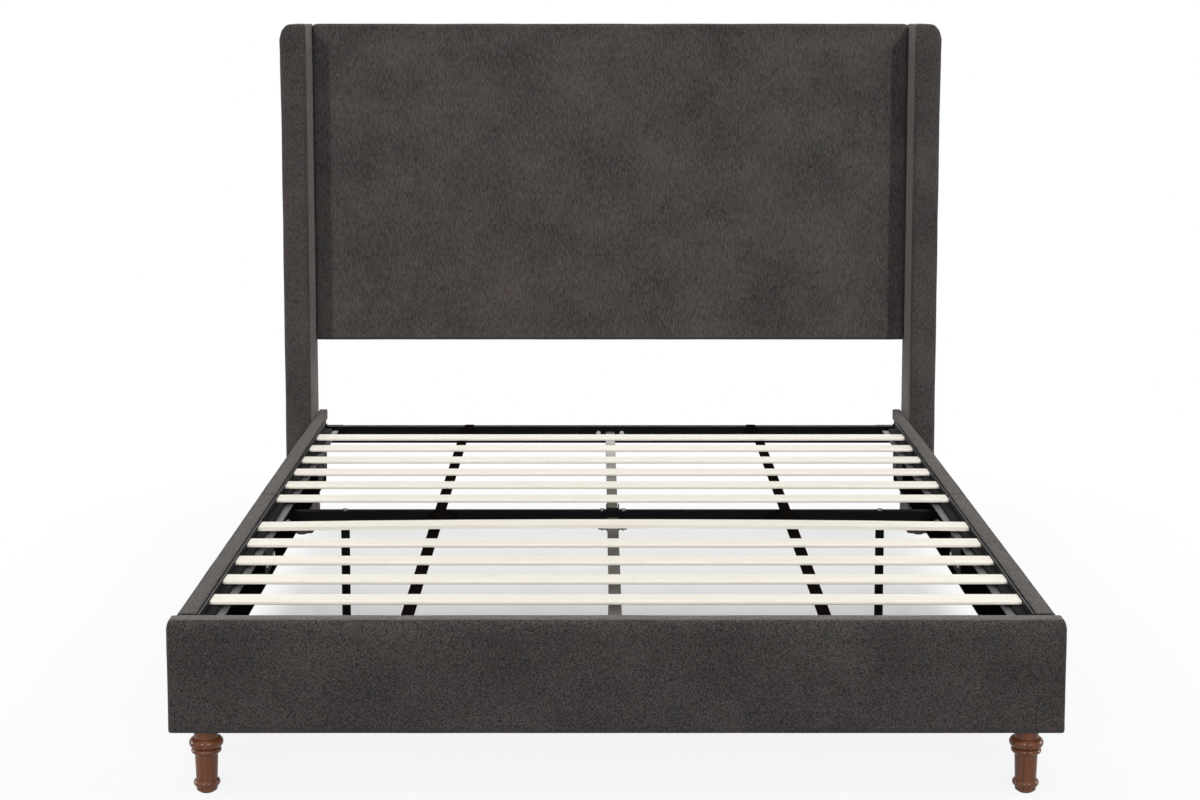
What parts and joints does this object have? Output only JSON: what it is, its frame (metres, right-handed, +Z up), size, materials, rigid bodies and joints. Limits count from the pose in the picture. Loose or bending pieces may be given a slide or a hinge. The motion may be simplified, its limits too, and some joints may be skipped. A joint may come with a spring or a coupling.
{
  "type": "upholstered platform bed",
  "caption": "Queen platform bed with a tall winged headboard, padded rails and footboard, turned front legs and a slat deck on steel ledges.",
  "frame": {"origin": "on the floor under the middle of the bed's bounding box", "axes": "+X to the right seen from the foot, +Y from the footboard towards the headboard, +Z up"},
  "size_m": [1.77, 2.1534, 1.399],
  "materials": {
    "cloth": "dark charcoal woven upholstery cloth with fine slubs",
    "black_lining": "thin black non-woven lining, also glued over the boards of the side rails",
    "timber": "sawn pine",
    "plywood": "raw plywood",
    "slat_wood": "pale sanded poplar, no lacquer",
    "leg_wood": "turned hardwood with a satin brown stain",
    "black_steel": "satin black powder coat",
    "ledge_steel": "grey powder coat",
    "centre_rail_steel": "satin grey steel tube",
    "zinc_steel": "bright zinc plate",
    "nylon": "black moulded nylon",
    "webbing": "woven black webbing tape",
    "ledge_pad": "dull black rubber strip"
  },
  "bodies": {
    "frame": {"centre_rail_brackets": "black_steel", "centre_rail_front": "centre_rail_steel", "centre_rail_rear": "centre_rail_steel", "footboard_corner_brackets": "black_steel", "footboard_cover": "cloth", "footboard_frame": "timber", "footboard_lining": "black_lining", "front_leg_left": "leg_wood", "front_leg_right": "leg_wood", "headboard_back_cloth": "black_lining", "headboard_board": "plywood", "headboard_corner_brackets": "black_steel", "headboard_cover": "cloth", "headboard_frame": "timber", "ledge_pads": "ledge_pad", "leg_glides": "nylon", "leg_hanger_bolts": "zinc_steel", "leg_insert_nuts": "zinc_steel", "mid_cross_rail": "black_steel", "rail_bolts": "zinc_steel", "rail_joint_brackets": "black_steel", "rear_cross_rail": "black_steel", "side_rail_left_front_angle": "ledge_steel", "side_rail_left_front_cover": "cloth", "side_rail_left_front_frame": "black_lining", "side_rail_left_rear_angle": "ledge_steel", "side_rail_left_rear_cover": "cloth", "side_rail_left_rear_frame": "black_lining", "side_rail_right_front_angle": "ledge_steel", "side_rail_right_front_cover": "cloth", "side_rail_right_front_frame": "black_lining", "side_rail_right_rear_angle": "ledge_steel", "side_rail_right_rear_cover": "cloth", "side_rail_right_rear_frame": "black_lining", "slat_01": "slat_wood", "slat_02": "slat_wood", "slat_03": "slat_wood", "slat_04": "slat_wood", "slat_05": "slat_wood", "slat_06": "slat_wood", "slat_07": "slat_wood", "slat_08": "slat_wood", "slat_09": "slat_wood", "slat_10": "slat_wood", "slat_11": "slat_wood", "slat_straps": "webbing", "support_leg_bolts": "zinc_steel", "support_leg_centre": "black_steel", "support_leg_left": "black_steel", "support_leg_right": "black_steel", "wing_bolts": "zinc_steel", "wing_glides": "nylon", "wing_insert_nuts": "zinc_steel", "wing_left_cover": "cloth", "wing_left_frame": "timber", "wing_right_cover": "cloth", "wing_right_frame": "timber"},
    "foot_left": {"levelling_foot_left": "nylon"},
    "foot_centre": {"levelling_foot_centre": "nylon"},
    "foot_right": {"levelling_foot_right": "nylon"}
  },
  "joints": [
    {"name": "level_left", "type": "slide", "parent": "frame", "child": "foot_left", "axis": [0, 0, 1], "range_m": [-0.015, 0.006]},
    {"name": "level_centre", "type": "slide", "parent": "frame", "child": "foot_centre", "axis": [0, 0, 1], "range_m": [-0.015, 0.006]},
    {"name": "level_right", "type": "slide", "parent": "frame", "child": "foot_right", "axis": [0, 0, 1], "range_m": [-0.015, 0.006]}
  ]
}
